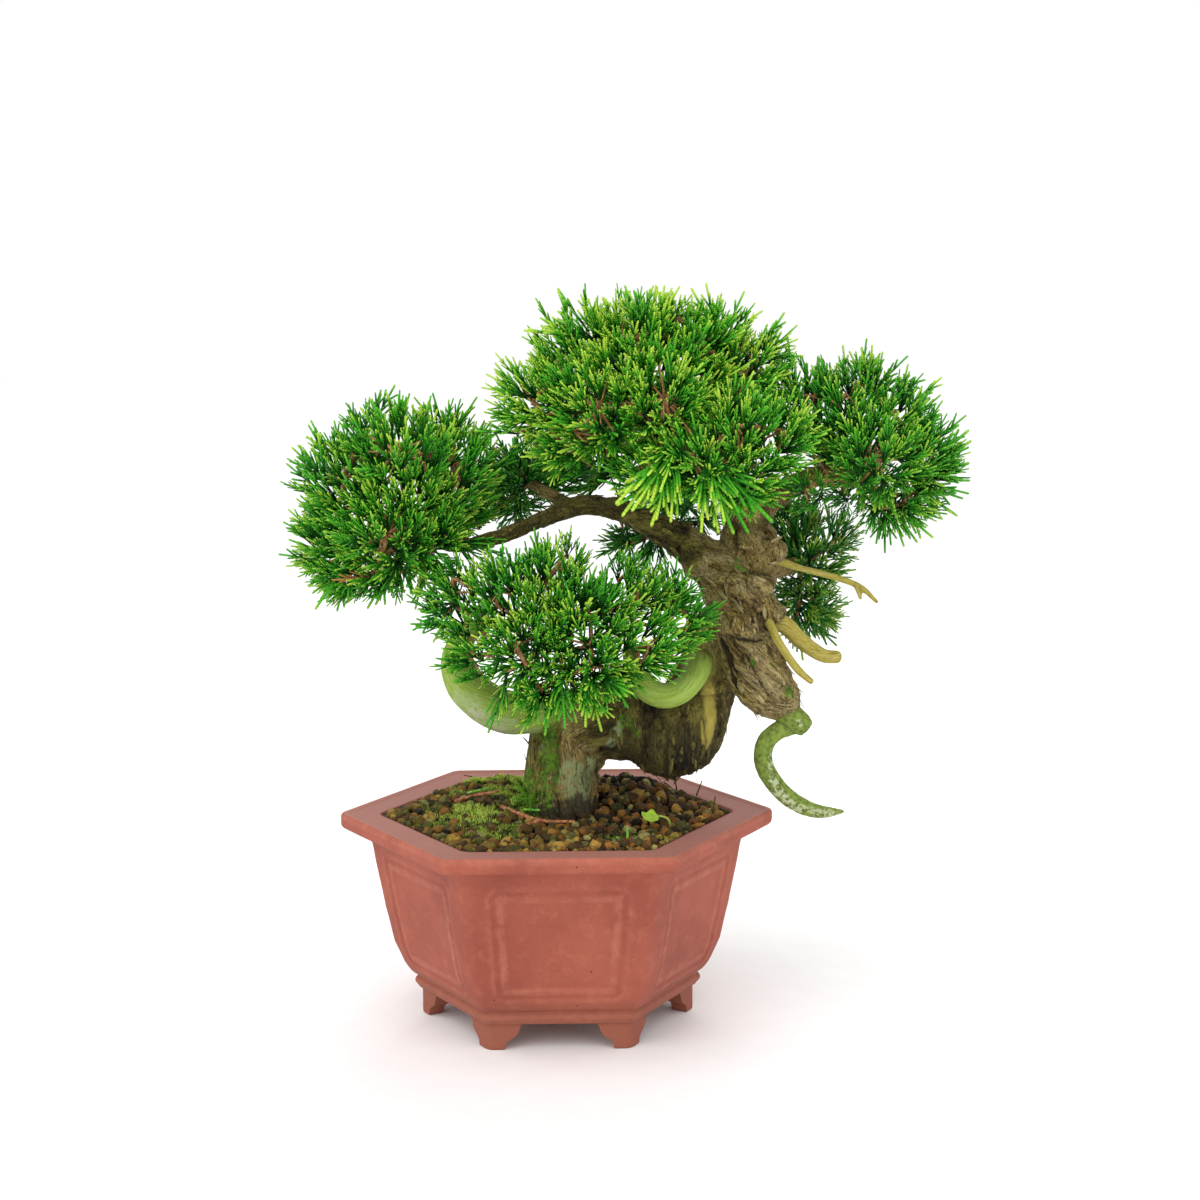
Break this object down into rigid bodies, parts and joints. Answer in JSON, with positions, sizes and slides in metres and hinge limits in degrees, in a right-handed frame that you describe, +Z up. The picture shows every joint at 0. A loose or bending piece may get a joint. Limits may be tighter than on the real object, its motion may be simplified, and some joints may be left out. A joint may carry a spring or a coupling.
{
  "type": "chinese juniper bonsai in a hexagonal pot",
  "caption": "Small trained juniper tree with a leaning gnarled trunk, bare deadwood and flat pads of scale foliage, rooted in gritty soil in a footed hexagonal clay pot",
  "frame": {"origin": "on the ground under the middle of the whole plant's bounding box, where the feet of the pot stand", "axes": "+Z up along the height of the tree, +X to the right as seen from the front, +Y from the front of the tree to its back; the front is the side the picture shows"},
  "size_m": [0.3476, 0.2132, 0.3694],
  "materials": {
    "fired_clay": "unglazed matte fired clay",
    "plastic_mesh": "matte",
    "gritty_soil": "loose matte grit with moss",
    "bark_and_deadwood": "flaky bark and bare weathered wood",
    "dry_twig": "dry and matte",
    "weed_leaf": "soft leaf",
    "scale_foliage": "satin scale leaves"
  },
  "bodies": {
    "root": {"pot": "fired_clay", "drain_screen": "plastic_mesh", "soil": "gritty_soil", "trunk": "bark_and_deadwood", "fallen_twig_front": "dry_twig", "fallen_twig_left": "dry_twig", "weed": "weed_leaf", "foliage_left": "scale_foliage", "foliage_middle_left": "scale_foliage", "foliage_crown": "scale_foliage", "foliage_front_right": "scale_foliage", "foliage_right": "scale_foliage", "foliage_back_right": "scale_foliage", "foliage_front_low": "scale_foliage", "foliage_back": "scale_foliage"}
  },
  "joints": []
}
